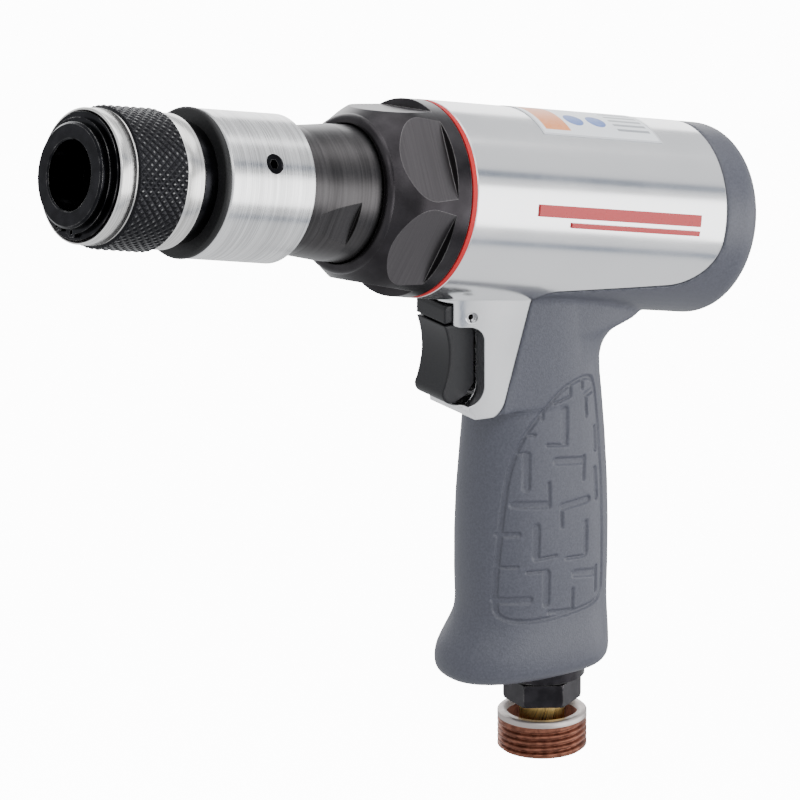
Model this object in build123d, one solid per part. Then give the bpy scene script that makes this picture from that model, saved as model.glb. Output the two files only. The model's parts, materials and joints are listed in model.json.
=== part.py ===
from build123d import *
import os
from math import cos, sin, tan, radians, sqrt, pi

# Pneumatic rivet gun with a quick-change chuck and a pistol grip.
# Millimetres. X runs along the barrel, from the muzzle (x = 0) to the rear, +Z is up,
# and -Y is the tool's left side. The origin is on the barrel axis, where the chuck's bore starts.

# ---------------------------------------------------------------- driving dimensions
# clearances
RUN = 0.05            # radial clearance of a running fit
APART = 0.35          # gap between pieces that move past each other
SEAM_GAP = 0.35       # shadow gap between the aluminium and the overmould

# chuck
CHUCK_BORE_R = 9.65
CHUCK_LAND = 12.0     # length of the chuck's guiding bore
CHUCK_RELIEF = 0.6    # extra radius behind the guiding bore
CHUCK_RELIEF_END = 30.0
CHUCK_BODY_R = 14.5
MOUTH_CHAMFER = 0.4
CHUCK_TAIL_X = 50.0   # rear end of the chuck body, inside the coupling
SLEEVE_X0 = 3.5
SLEEVE_LENGTH = 28.5
SLEEVE_R = 18.6
SLEEVE_RIM = 0.8      # wall of the sleeve round its open front
KNURL_X0 = 9.2
KNURL_LENGTH = 16.4
KNURL_R = 19.65
SLEEVE_TRAVEL = 4.5
BALL_R = 3.1
BALL_X = 16.0
BALL_COUNT = 3
BALL_INSET = 1.35     # how far a locked ball stands into the bore
BALL_TRAVEL = 1.6
SNAP_RING_X = 1.6
SNAP_RING_T = 1.3
SNAP_RING_W = 1.3     # how far the ring stands out of its groove
SNAP_GROOVE = 0.75
EAR_R = 1.55          # the ring's two ears
EAR_HOLE_R = 0.65
EAR_ANGLE = 13
WASHER_T = 1.6

# coupling and barrel
COUPLING_X0 = 39.6
COUPLING_LENGTH = 29.0
COUPLING_R = 20.5
BUMPER_R = 20.75
BUMPER_T = 2.0
SET_SCREW_X = 54.5
SET_SCREW_R = 2.9
SET_SCREW_TURN = 58.0  # degrees, towards the tool's left
SET_SCREW_SINK = 0.5
SET_SCREW_HEX_R = 1.45
SET_SCREW_HEX_DEPTH = 2.6
SHANK_R = 5.15        # bore for a 0.401 inch tool shank
BUSHING_R = 8.0
BUSHING_X0 = 36.0
BUSHING_LENGTH = 24.0
NOSE_R = 13.0
BARREL_R = 17.75
BARREL_REAR_R = 19.0
BARREL_THREAD_R = 21.4
CYLINDER_R = 16.5     # outside of the cylinder inside the housing
BARREL_END_X = 192.0
PISTON_R = 9.5
PISTON_LENGTH = 50.0
PISTON_FRONT_X = 64.0
BARREL_FLAT_DIST = 17.55
BARREL_FLAT_ANGLE = 15.0
BARREL_FLAT_X0 = 74.0
BARREL_FLAT_X1 = 85.8

# front cap
CAP_X0 = 92.5
CAP_X1 = 117.4
CAP_R = 27.35
CAP_MOUTH_R = 21.0
CAP_CONE_X = 103.0
CAP_FLAT_DIST = 24.75  # at the flats' rear shoulder
CAP_FLAT_X = 112.2     # the shoulder behind the flats
CAP_FLAT_TILT = 4.3    # degrees, each flat leans in towards the front
CAP_FLATS = 6
CAP_FLAT_ANGLE = -9.0  # turn of the first flat about the barrel axis
GASKET_T = 1.5

# housing
HOUSING_R = 27.4
HOUSING_REAR_R = 26.7
HOUSING_END_X = 223.0
HOUSING_END_ROUND = 7.0
SKIN_R = 24.2         # housing radius under the overmould
SKIN_END_X = 218.4
CHAMBER_END_X = 213.2
SEAM_X = 208.4        # upright seam between the aluminium and the rear of the overmould
SEAM_FRONT_X = 154.8  # seam down the side of the upper handle
SEAM_HOOK_Z = -58.0
SEAM_END_X = 125.0    # the seam runs out in front of the hook
SEAM_END_Z = SEAM_HOOK_Z - 7.0
BEYOND = 200.0        # well outside the tool

# handle, in its own plane: u runs rearward, s runs down the handle
AXIS_X = 164.3        # where the handle's axis meets the barrel's
RAKE = 14.5           # degrees
GRIP_END_S = 133.4
YOKE_END_S = 53.0
GRIP_SKIN = 3.0       # overmould thickness round the handle's core
CORE_REAR = 18.0      # the core doesn't follow the overmould's fillet behind the handle
# stations of the grip: s, front, rear, half width
GRIP_STATIONS = [
    (0.0, 25.0, 27.0, 15.5),
    (30.0, 23.8, 32.0, 14.9),
    (34.2, 23.7, 31.0, 14.9),
    (35.2, 23.6, 24.0, 14.8),
    (36.2, 23.6, 20.6, 14.8),
    (38.0, 23.6, 17.8, 14.8),
    (40.0, 23.6, 16.2, 14.8),
    (43.0, 23.7, 15.2, 14.8),
    (48.0, 23.8, 15.3, 15.0),
    (54.0, 24.2, 16.0, 15.2),
    (66.0, 25.3, 17.0, 15.8),
    (80.0, 26.5, 17.7, 16.5),
    (92.0, 27.0, 17.9, 16.8),
    (104.0, 27.0, 17.7, 16.9),
    (112.0, 26.7, 17.4, 16.9),
]
FLARE_S0 = GRIP_END_S - 20.2  # the foot's flare starts here
FLARE_S1 = GRIP_END_S - 5.9
FLARE_FRONT = 7.2
FLARE_SIDE = 1.4
GRIP_BOTTOM_ROUND = 4.2

# trigger
PIN_U = -31.9
PIN_S = 23.05
PIN_R = 1.5
TRIGGER_W = 13.4
LUG_GAP = 0.4         # side gap between trigger and lugs
SLOT_TOP_S = 18.8
LUG_END_S = 25.8
LUG_FRONT_U = -37.7
LUG_ROUND = 3.3
WINDOW_REAR_U = -28.5
POCKET_FLOOR_S = 49.4
THROTTLE_S = 42.0
THROTTLE_R = 6.5
THROTTLE_END_U = 6.0
THROTTLE_PIN_R = 1.5
SEAT_U = -14.0
SEAT_T = 2.0
POPPET_R = 5.0
POPPET_T = 3.0
BUSH_U0 = -24.0
BUSH_U1 = -18.0

# inlet
AIR_BORE_S0 = 62.0
AIR_BORE_R = 8.2
SILENCER_S0 = GRIP_END_S - 8.0
SILENCER_T = 6.8
SEAL_T = 1.1
SCREEN_S = GRIP_END_S - 12.4
SCREEN_T = 0.6
HEX_S = GRIP_END_S + 5.2
HEX_T = 6.6
HEX_AF = 19.05
COLLAR_R = 12.0
HEX_TURN = 34.5      # one flat of the hexagon faces the front left
NIPPLE_R = 6.4
NIPPLE_NECK_R = 5.0
NIPPLE_BORE_R = 3.2
COUPLER_S = HEX_S + 10.0
COUPLER_LENGTH = 11.0
COUPLER_R = 12.6
COUPLER_BORE_R = 10.2
COUPLER_WEB_T = 3.4
CLIP_T = 0.8

# labels
LABEL_X0 = 148.0
LABEL_X1 = 190.5
LABEL_T = 0.15
LABEL_HALF_ANGLE = 30.0
STRIPE_X0 = 141.0
STRIPE_X1 = 199.0
STRIPE_T = 0.5

# valve stack behind the barrel
BLOCK_T = 7.0
COVER_T = 10.0
BUMPER_DISC_T = 4.0
PLATE_R = 8.0
PLATE_T = 1.6
PLATE_TRAVEL = 0.6
DOWEL_R = 1.2
DOWEL_Z = 13.0

AXIS_DIR = (sin(radians(RAKE)), 0, -cos(radians(RAKE)))


# ---------------------------------------------------------------- helpers
def rod(x0, x1, r):
    """Solid cylinder along the barrel axis."""
    return Pos((x0 + x1) / 2, 0, 0) * Rot(0, 90, 0) * Cylinder(r, x1 - x0)


def tube(x0, x1, r_out, r_in):
    return rod(x0, x1, r_out) - rod(x0 - 1, x1 + 1, r_in)


def turned(points):
    """Solid of revolution about the barrel axis from (x, radius) points."""
    outline = Polyline(*[(x, r) for x, r in points], close=True)
    return revolve(make_face(outline), Axis.X, 360)


def handle_plane(s=0.0):
    """Plane across the handle at s: local x is rearward, local y is the tool's left."""
    a = radians(RAKE)
    origin = (AXIS_X + s * sin(a), 0, -s * cos(a))
    return Plane(origin=origin, x_dir=(cos(a), 0, sin(a)), z_dir=AXIS_DIR)


def side_plane():
    """Side view plane of the handle: local x is u, local y is -s."""
    a = radians(RAKE)
    return Plane(origin=(AXIS_X, 0, 0), x_dir=(cos(a), 0, sin(a)), z_dir=(0, -1, 0))


def across_handle(s0, s1, r, u=0.0):
    """Cylinder along the handle axis from s0 to s1."""
    return handle_plane(s0) * Pos(u, 0, (s1 - s0) / 2) * Cylinder(r, s1 - s0)


def along_u(u0, u1, r, s):
    """Cylinder that crosses the handle from front to rear."""
    return handle_plane(s) * Pos((u0 + u1) / 2, 0, 0) * Rot(0, 90, 0) * Cylinder(r, u1 - u0)


def flat_cutter(x0, x1, distance, tilt):
    """Prism above a flat that ends at x1, at a distance from the axis there."""
    low = distance - (x1 - x0) * tan(radians(tilt))
    top = 2 * distance
    outline = Polyline((x0, low), (x1, distance), (x1, top), (x0, top), close=True)
    plane = Plane(origin=(0, 0, 0), x_dir=(1, 0, 0), z_dir=(0, -1, 0))
    return extrude(plane * make_face(outline), amount=distance, both=True)


def side_slab(face_points, half_width):
    """Slab symmetric about Y from (u, s) points in the side view."""
    outline = Polyline(*[(u, -s) for u, s in face_points], close=True)
    face = make_face(outline)
    return extrude(side_plane() * face, amount=half_width, both=True)


def spring(start, direction, mean_r, wire_r, length, turns):
    """Helical compression spring that starts at a point and runs along a direction."""
    coil = Helix(pitch=length / turns, height=length, radius=mean_r)
    section = Plane(origin=coil @ 0, z_dir=coil % 0) * Circle(wire_r)
    body = sweep(section, path=coil)
    return Plane(origin=start, z_dir=direction) * body


# ---------------------------------------------------------------- chuck
def chuck_body():
    tail = CHUCK_TAIL_X
    relief_r = CHUCK_BORE_R + CHUCK_RELIEF
    groove_r = CHUCK_BODY_R - SNAP_GROOVE
    body = turned([
        (-MOUTH_CHAMFER, CHUCK_BORE_R + MOUTH_CHAMFER),
        (-MOUTH_CHAMFER, CHUCK_BODY_R - 0.6),
        (-MOUTH_CHAMFER + 0.6, CHUCK_BODY_R),
        (SNAP_RING_X, CHUCK_BODY_R),
        (SNAP_RING_X, groove_r),
        (SNAP_RING_X + SNAP_RING_T, groove_r),
        (SNAP_RING_X + SNAP_RING_T, CHUCK_BODY_R),
        (tail, CHUCK_BODY_R),
        (tail, BUSHING_R),
        (CHUCK_RELIEF_END, BUSHING_R),
        (CHUCK_RELIEF_END, relief_r),
        (CHUCK_LAND, relief_r),
        (CHUCK_LAND, CHUCK_BORE_R),
        (0, CHUCK_BORE_R),
    ])
    for i in range(BALL_COUNT):
        body -= Rot(ball_angle(i), 0, 0) * Pos(BALL_X, 0, CHUCK_BODY_R) * Cylinder(BALL_R + RUN, 12)
    return body


def ball_angle(i):
    return 60 + 360 / BALL_COUNT * i


def chuck_ball(i):
    height = CHUCK_BORE_R - BALL_INSET + BALL_R
    return Rot(ball_angle(i), 0, 0) * Pos(BALL_X, 0, height) * Sphere(BALL_R)


def snap_ring():
    inner = CHUCK_BODY_R - SNAP_GROOVE
    ring = tube(SNAP_RING_X, SNAP_RING_X + SNAP_RING_T, CHUCK_BODY_R + SNAP_RING_W, inner)
    middle = SNAP_RING_X + SNAP_RING_T / 2
    ring -= Pos(middle, 0, -CHUCK_BODY_R) * Box(3 * SNAP_RING_T, 2.4, 6)
    for side in (-1, 1):
        place = Rot(side * EAR_ANGLE, 0, 0) * Pos(middle, 0, -CHUCK_BODY_R - SNAP_GROOVE) * Rot(0, 90, 0)
        lug = place * Cylinder(EAR_R, SNAP_RING_T)
        lug -= rod(SNAP_RING_X - 1, SNAP_RING_X + SNAP_RING_T + 1, inner)
        ring += lug
        ring -= place * Cylinder(EAR_HOLE_R, 3 * SNAP_RING_T)
    return ring


def washer_x():
    return SNAP_RING_X + SNAP_RING_T


def stop_washer():
    x0 = washer_x()
    return tube(x0, x0 + WASHER_T, sleeve_mouth_r() - APART, CHUCK_BODY_R)


def sleeve_mouth_r():
    return SLEEVE_R - SLEEVE_RIM


def ball_slope():
    return BALL_TRAVEL / SLEEVE_TRAVEL


def spring_seat_x():
    return SLEEVE_X0 + 20.5


def chuck_sleeve():
    x0 = SLEEVE_X0
    x1 = x0 + SLEEVE_LENGTH
    step_x = washer_x() + WASHER_T + APART
    lock_r = CHUCK_BORE_R - BALL_INSET + 2 * BALL_R + 0.4
    cone_x = BALL_X + 0.3
    free_x = cone_x - SLEEVE_TRAVEL - 0.2
    free_r = lock_r + (cone_x - free_x) * ball_slope()
    land_x = BALL_X + BALL_R + APART
    edge = 0.5
    return turned([
        (x0, sleeve_mouth_r()),
        (x0, SLEEVE_R - edge),
        (x0 + edge, SLEEVE_R),
        (KNURL_X0, SLEEVE_R),
        (KNURL_X0, KNURL_R - edge),
        (KNURL_X0 + edge, KNURL_R),
        (KNURL_X0 + KNURL_LENGTH - edge, KNURL_R),
        (KNURL_X0 + KNURL_LENGTH, KNURL_R - edge),
        (KNURL_X0 + KNURL_LENGTH, SLEEVE_R),
        (x1 - edge, SLEEVE_R),
        (x1, SLEEVE_R - edge),
        (x1, spring_room_r()),
        (spring_seat_x(), spring_room_r()),
        (spring_seat_x(), CHUCK_BODY_R + RUN),
        (land_x, CHUCK_BODY_R + RUN),
        (land_x, lock_r),
        (cone_x, lock_r),
        (free_x, free_r),
        (step_x + 2.2, free_r),
        (step_x + 2.2, sleeve_mouth_r() - 1.4),
        (step_x, sleeve_mouth_r() - 1.4),
        (step_x, sleeve_mouth_r()),
    ])


def spring_room_r():
    return SLEEVE_R - 1.4


def neck_x():
    return bumper_x() - 5.4


def bumper_x():
    return COUPLING_X0 - BUMPER_T


def neck_ring():
    """Stepped black ring that the chuck spring bears on."""
    outer = spring_room_r() - 0.5
    x0 = neck_x()
    x1 = bumper_x()
    return turned([
        (x0, CHUCK_BODY_R),
        (x0, outer - 0.9),
        (x0 + 1.2, outer - 0.9),
        (x0 + 1.2, outer),
        (x1, outer),
        (x1, CHUCK_BODY_R),
    ])


def chuck_spring():
    room = neck_x() - spring_seat_x()
    wire_r = 0.6
    start = (spring_seat_x() + wire_r + 0.15, 0, 0)
    mean_r = CHUCK_BODY_R + 0.45 + wire_r
    return spring(start, (1, 0, 0), mean_r, wire_r, room - 2 * wire_r - 0.3, 3.5)


def bumper_ring():
    """Soft ring that cushions the sleeve at the end of its travel."""
    x0 = bumper_x()
    ring = tube(x0, COUPLING_X0, BUMPER_R, CHUCK_BODY_R)
    rims = ring.edges().filter_by(GeomType.CIRCLE).sort_by(SortBy.RADIUS)[-2:]
    return fillet(rims, BUMPER_T / 2 - 0.1)


# ---------------------------------------------------------------- coupling and barrel
def coupling_collar():
    x0 = COUPLING_X0
    x1 = x0 + COUPLING_LENGTH
    edge = 0.6
    collar = turned([
        (x0, CHUCK_BODY_R),
        (x0, COUPLING_R - edge),
        (x0 + edge, COUPLING_R),
        (x1 - edge, COUPLING_R),
        (x1, COUPLING_R - edge),
        (x1, NOSE_R),
        (CHUCK_TAIL_X, NOSE_R),
        (CHUCK_TAIL_X, CHUCK_BODY_R),
    ])
    hole = set_screw_place(NOSE_R - 1, COUPLING_R + 1) * Cylinder(SET_SCREW_R, COUPLING_R - NOSE_R + 2)
    return collar - hole


def set_screw_place(r0, r1):
    """On the tool's left, turned a little up."""
    return Pos(SET_SCREW_X, 0, 0) * Rot(SET_SCREW_TURN, 0, 0) * Pos(0, 0, (r0 + r1) / 2)


def coupling_set_screw():
    top = COUPLING_R - SET_SCREW_SINK
    screw = set_screw_place(NOSE_R, top) * Cylinder(SET_SCREW_R, top - NOSE_R)
    socket = set_screw_place(top - SET_SCREW_HEX_DEPTH, top - SET_SCREW_HEX_DEPTH)
    hexagon = extrude(RegularPolygon(SET_SCREW_HEX_R, 6), SET_SCREW_HEX_DEPTH + 1)
    return screw - socket * hexagon


def shank_bushing():
    return tube(BUSHING_X0, BUSHING_X0 + BUSHING_LENGTH, BUSHING_R, SHANK_R)


def barrel():
    nose_x = COUPLING_X0 + COUPLING_LENGTH
    seat_x = BUSHING_X0 + BUSHING_LENGTH
    thread_x = CAP_X1 + GASKET_T + 1.4
    body = turned([
        (CHUCK_TAIL_X, BUSHING_R),
        (CHUCK_TAIL_X, NOSE_R),
        (nose_x, NOSE_R),
        (nose_x, BARREL_R - 0.8),
        (nose_x + 0.8, BARREL_R),
        (nose_x + 6.0, BARREL_R),
        (BARREL_FLAT_X1, BARREL_REAR_R - 0.2),
        (CAP_X0, BARREL_REAR_R),
        (CAP_X1, BARREL_REAR_R),
        (thread_x, BARREL_REAR_R),
        (thread_x, BARREL_THREAD_R),
        (thread_x + 12.0, BARREL_THREAD_R),
        (thread_x + 12.0, CYLINDER_R),
        (BARREL_END_X, CYLINDER_R),
        (BARREL_END_X, PISTON_R + RUN),
        (PISTON_FRONT_X - 0.4, PISTON_R + RUN),
        (PISTON_FRONT_X - 0.4, SHANK_R + 0.6),
        (seat_x, SHANK_R + 0.6),
        (seat_x, BUSHING_R),
    ])
    for side in (0, 180):
        cutter = flat_cutter(BARREL_FLAT_X0, BARREL_FLAT_X1, BARREL_FLAT_DIST, 0)
        body -= Rot(90 + BARREL_FLAT_ANGLE + side, 0, 0) * cutter
    return body


def piston():
    x0 = PISTON_FRONT_X
    x1 = x0 + PISTON_LENGTH
    groove = 0.6
    points = [(x0, 0), (x0, PISTON_R - 1.2), (x0 + 1.2, PISTON_R)]
    for i in range(3):
        x = x0 + 12 + 8 * i
        points += [(x, PISTON_R), (x, PISTON_R - groove), (x + 1.2, PISTON_R - groove), (x + 1.2, PISTON_R)]
    points += [(x1 - 1.2, PISTON_R), (x1, PISTON_R - 1.2), (x1, 4.0), (x1 - 14, 4.0), (x1 - 16, 0)]
    return turned(points)


def barrel_seal():
    """O-ring between the barrel's thread and the housing's mouth."""
    x0 = CAP_X1 + GASKET_T
    return tube(x0, x0 + 1.4, BARREL_THREAD_R, BARREL_REAR_R)


def front_cap():
    profile = Polyline(
        (CAP_X0 + 1.6, CAP_MOUTH_R + 1.1),
        (CAP_CONE_X - 3.8, CAP_R - 1.95),
    )
    lip = RadiusArc((CAP_X0, CAP_MOUTH_R - 0.9), (CAP_X0 + 1.6, CAP_MOUTH_R + 1.1), 1.9)
    shoulder = RadiusArc((CAP_CONE_X - 3.8, CAP_R - 1.95), (CAP_CONE_X + 3.2, CAP_R), 12.6)
    rest = Polyline(
        (CAP_CONE_X + 3.2, CAP_R),
        (CAP_X1 - 0.5, CAP_R),
        (CAP_X1, CAP_R - 0.5),
        (CAP_X1, BARREL_REAR_R),
        (CAP_X0 + 2.0, BARREL_REAR_R),
        (CAP_X0, BARREL_REAR_R + 0.5),
        (CAP_X0, CAP_MOUTH_R - 0.9),
    )
    face = make_face(lip + profile + shoulder + rest)
    cap = revolve(face, Axis.X, 360)
    for i in range(CAP_FLATS):
        cutter = flat_cutter(CAP_X0 - 1, CAP_FLAT_X, CAP_FLAT_DIST, CAP_FLAT_TILT)
        cap -= Rot(CAP_FLAT_ANGLE + 360 / CAP_FLATS * i, 0, 0) * cutter
    return cap


def cap_gasket():
    return tube(CAP_X1, CAP_X1 + GASKET_T, CAP_R + 0.05, BARREL_THREAD_R)


# ---------------------------------------------------------------- outer shape of housing and handle
def grip_section(front, rear, half_width):
    """Closed oval across the handle, fuller than an ellipse."""
    power = 2.35
    count = 20
    points = []
    for i in range(count):
        a = 2 * pi * i / count
        reach = rear if cos(a) > 0 else front
        u = reach * abs(cos(a)) ** (2 / power) * (1 if cos(a) > 0 else -1)
        v = half_width * abs(sin(a)) ** (2 / power) * (1 if sin(a) > 0 else -1)
        points.append((u, v))
    return make_face(Spline(*points, periodic=True))


def smooth_step(x):
    x = min(max(x, 0.0), 1.0)
    return x * x * (3 - 2 * x)


def foot_stations(end):
    """Stations of the flared foot, down to its rounded lower edge."""
    s_last, front, rear, half = GRIP_STATIONS[-1]
    flare_steps = 7
    round_steps = 4
    stations = []
    for i in range(1, flare_steps + 1):
        s = FLARE_S0 + (FLARE_S1 - FLARE_S0) * i / flare_steps
        k = smooth_step((s - FLARE_S0) / (FLARE_S1 - FLARE_S0))
        stations.append((s, front + FLARE_FRONT * k, rear, half + FLARE_SIDE * k))
    wide = (front + FLARE_FRONT, rear, half + FLARE_SIDE)
    for i in range(round_steps + 1):
        a = radians(90) * i / round_steps
        s = end - GRIP_BOTTOM_ROUND * (1 - sin(a))
        k = GRIP_BOTTOM_ROUND * (1 - cos(a))
        stations.append((s, wide[0] - k, wide[1] - k, wide[2] - k))
    return stations


def grip_solid(inset=0.0, end=GRIP_END_S):
    """The grip below the barrel, with an optional inset for its core."""
    sections = []
    for s, front, rear, half in GRIP_STATIONS + foot_stations(end):
        back = min(rear, CORE_REAR) if inset else rear
        sections.append(handle_plane(s) * grip_section(front - inset, back - inset, half - inset))
    return loft(sections, ruled=True)


def yoke_section(inset=0.0):
    """Egg-shaped section of the upper handle, which carries the trigger."""
    k = inset
    points = [
        (-37.6 + k, 0), (-36.9 + k, 6.2), (-33.2 + k, 9.6 - k / 2), (-22, 12.4 - k), (-8, 14.9 - k),
        (5, 14.0 - k), (12.6 - k, 8.6), (15.0 - k, 0),
    ]
    mirrored = [(u, -v) for u, v in reversed(points[1:-1])]
    return make_face(Spline(*points, *mirrored, periodic=True))


def yoke_solid(inset=0.0):
    """Upper handle from inside the cylinder down to the hook under the trigger."""
    face = yoke_section(inset)
    top = handle_plane(0) * face
    body = extrude(top, YOKE_END_S - inset)
    if inset == 0.0:
        tip = [(-60, 44), (-33.6, 44), (-32.8, 50.4), (-31.4, 51.8), (-30.8, 58), (-60, 58)]
        body -= side_slab(tip, 40)
    return body


def cylinder_solid(extra=0.0):
    """Round motor housing with a slight draft and a rounded rear edge."""
    x0 = CAP_X1 + GASKET_T
    r0 = HOUSING_R
    r1 = HOUSING_REAR_R + extra
    x1 = HOUSING_END_X
    round_r = HOUSING_END_ROUND
    side = Polyline((x0, 0), (x0, r0 - 0.4), (x0 + 0.4, r0), (x1 - round_r, r1))
    corner = RadiusArc((x1 - round_r, r1), (x1, r1 - round_r), round_r)
    close = Polyline((x1, r1 - round_r), (x1, 0), (x0, 0))
    return revolve(make_face(side + corner + close), Axis.X, 360)


def overmould_region(gap=0.0):
    """Prism that covers everything behind and below the seam line."""
    rear_x = SEAM_X + gap
    front_x = SEAM_FRONT_X + gap
    seam = FilletPolyline(
        (rear_x, 60),
        (rear_x, -13.1 - gap),
        (front_x + 0.6, -19.9 - gap),
        (front_x, SEAM_HOOK_Z - gap),
        (SEAM_END_X, SEAM_END_Z - gap),
        radius=[15.0 - gap, 5.5 - gap, 6.5 - gap],
    )
    rest = Polyline(
        (SEAM_END_X, SEAM_END_Z - gap), (SEAM_END_X, -BEYOND), (2 * BEYOND, -BEYOND), (2 * BEYOND, 60), (rear_x, 60))
    plane = Plane(origin=(0, 0, 0), x_dir=(1, 0, 0), z_dir=(0, -1, 0))
    return extrude(plane * make_face(seam + rest), amount=60, both=True)


def handle_core():
    """Aluminium core under the overmould."""
    core = rod(150, SKIN_END_X, SKIN_R)
    core += yoke_solid(GRIP_SKIN)
    core += grip_solid(GRIP_SKIN, GRIP_END_S - 0.8)
    return core


def outer_shape():
    return cylinder_solid() + yoke_solid() + grip_solid()


def trigger_pocket():
    """Opening in the front of the upper handle for the trigger."""
    half = TRIGGER_W / 2 + LUG_GAP
    floor = POCKET_FLOOR_S
    slot = side_slab([(-60, SLOT_TOP_S), (-25.6, SLOT_TOP_S), (-25.0, 33), (-25.4, 42), (-27.6, floor - 2.2),
                      (-31.0, floor), (-60, floor)], half)
    edge = FilletPolyline(
        (-60, 4 - LUG_END_S),
        (LUG_FRONT_U, 4 - LUG_END_S),
        (LUG_FRONT_U, -LUG_END_S),
        (WINDOW_REAR_U, -LUG_END_S),
        (WINDOW_REAR_U, -floor),
        (-60, -floor),
        radius=[0.5, LUG_ROUND, 4.5, 6.0],
    )
    outline = edge + Line((-60, -floor), (-60, 4 - LUG_END_S))
    window = extrude(side_plane() * make_face(outline), amount=30, both=True)
    return slot + window


def housing_bores():
    x0 = CAP_X1 + GASKET_T
    bores = rod(x0 - 1, CHAMBER_END_X, BARREL_THREAD_R)
    bores += across_handle(AIR_BORE_S0, GRIP_END_S + 5, AIR_BORE_R)
    bores += across_handle(SILENCER_S0, GRIP_END_S + 5, COLLAR_R)
    bores += along_u(-27.5, THROTTLE_END_U, THROTTLE_R, THROTTLE_S)
    bores += across_handle(THROTTLE_S, AIR_BORE_S0 + 4, 5.0, 0.0)
    bores += across_handle(12, THROTTLE_S, 2.6, -15.6)
    return bores


def pin_rod(r, half):
    return side_plane() * Pos(PIN_U, -PIN_S, 0) * Cylinder(r, 2 * half)


# ---------------------------------------------------------------- nodes of the housing
def housing_and_overmould():
    shape = outer_shape()
    core = handle_core()
    region = overmould_region()
    region_gap = overmould_region(SEAM_GAP)
    overmould = (shape & region_gap) - core
    housing = (shape - region) + core
    housing -= housing_bores()
    housing -= trigger_pocket()
    housing -= pin_rod(PIN_R, 30)
    overmould -= across_handle(SILENCER_S0, GRIP_END_S + 5, COLLAR_R + 0.3)
    return housing, overmould


# ---------------------------------------------------------------- valve stack
def dowel_hole():
    return Pos(0, 0, DOWEL_Z) * rod(BARREL_END_X - 5, BARREL_END_X + BLOCK_T + COVER_T - 3, DOWEL_R)


def valve_block():
    x0 = BARREL_END_X
    body = rod(x0, x0 + BLOCK_T, CYLINDER_R) - rod(x0 - 1, x0 + BLOCK_T + 1, 2.5)
    for i in range(6):
        port = Rot(30 + 60 * i, 0, 0) * Pos(0, 0, 6.0) * rod(x0 - 1, x0 + BLOCK_T + 1, 1.1)
        body -= port
    return body - dowel_hole()


def valve_plate():
    x0 = BARREL_END_X + BLOCK_T + 0.1
    plate = rod(x0, x0 + PLATE_T, PLATE_R)
    return plate - rod(x0 - 1, x0 + PLATE_T + 1, 1.5)


def valve_cover():
    x0 = BARREL_END_X + BLOCK_T
    body = rod(x0, x0 + COVER_T, CYLINDER_R)
    body -= rod(x0 - 1, x0 + 0.1 + PLATE_T + PLATE_TRAVEL + 0.1, PLATE_R + APART)
    body -= rod(x0 - 1, x0 + COVER_T + 1, 2.0)
    return body - dowel_hole()


def rear_bumper():
    x0 = BARREL_END_X + BLOCK_T + COVER_T
    return rod(x0, x0 + BUMPER_DISC_T, CYLINDER_R + 2.5) - rod(x0 - 1, x0 + BUMPER_DISC_T + 1, 6.0)


# ---------------------------------------------------------------- trigger and throttle
def trigger():
    top = PIN_S - 3.5
    low = POCKET_FLOOR_S - 1.2
    slit = PIN_S + 1.5
    front = side_plane() * make_face(
        Polyline((-35.4, -slit), (-38.8, -slit), (-38.8, -top - 0.8), (-38.0, -top), (PIN_U, -top))
        + CenterArc((PIN_U, -PIN_S), 3.5, 90, -90)
        + Polyline((PIN_U + 3.5, -PIN_S), (-28.7, -28.0), (-28.7, -low + 4.6), (-31.5, -low + 1.4),
                   (-35.2, -low), (-36.8, -low))
        + RadiusArc((-36.8, -low), (-39.5, -low + 3.6), 3.2)
        + RadiusArc((-39.5, -low + 3.6), (-38.8, -slit - 0.7), -24)
        + Polyline((-38.8, -slit - 0.7), (-35.4, -slit - 0.7), (-35.4, -slit))
    )
    body = extrude(front, amount=TRIGGER_W / 2, both=True)
    body -= pin_rod(PIN_R + RUN, TRIGGER_W)
    return body


def trigger_pin():
    pin = pin_rod(PIN_R, 9.4) - pin_rod(PIN_R - 0.65, 10)
    slit = side_plane() * Pos(PIN_U, -PIN_S - PIN_R, 0) * Box(0.4, 2.0, 20)
    return pin - slit


def throttle_pin():
    return along_u(-28.7 + 0.3, SEAT_U + SEAT_T + 0.3, THROTTLE_PIN_R, THROTTLE_S)


def throttle_bushing():
    return along_u(BUSH_U0, BUSH_U1, THROTTLE_R, THROTTLE_S) - along_u(
        BUSH_U0 - 1, BUSH_U1 + 1, THROTTLE_PIN_R + RUN, THROTTLE_S)


def throttle_seat():
    return along_u(SEAT_U, SEAT_U + SEAT_T, THROTTLE_R, THROTTLE_S) - along_u(
        SEAT_U - 1, SEAT_U + SEAT_T + 1, 3.4, THROTTLE_S)


def throttle_valve():
    u0 = SEAT_U + SEAT_T + 0.3
    valve = along_u(u0, u0 + POPPET_T, POPPET_R, THROTTLE_S)
    return valve + along_u(u0 + POPPET_T, u0 + POPPET_T + 2.0, 2.4, THROTTLE_S)


def throttle_spring():
    u0 = SEAT_U + SEAT_T + 0.3 + POPPET_T
    wire_r = 0.45
    a = radians(RAKE)
    place = handle_plane(THROTTLE_S)
    start = place.origin + place.x_dir * (u0 + wire_r + 0.15)
    return spring(start, (cos(a), 0, sin(a)), 3.6, wire_r, THROTTLE_END_U - u0 - 2 * wire_r - 0.3, 5)


# ---------------------------------------------------------------- inlet
def silencer():
    s0 = SILENCER_S0
    bore = across_handle(s0 - 1, s0 + SILENCER_T + 1, AIR_BORE_R)
    return across_handle(s0, s0 + SILENCER_T, COLLAR_R) - bore


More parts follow.
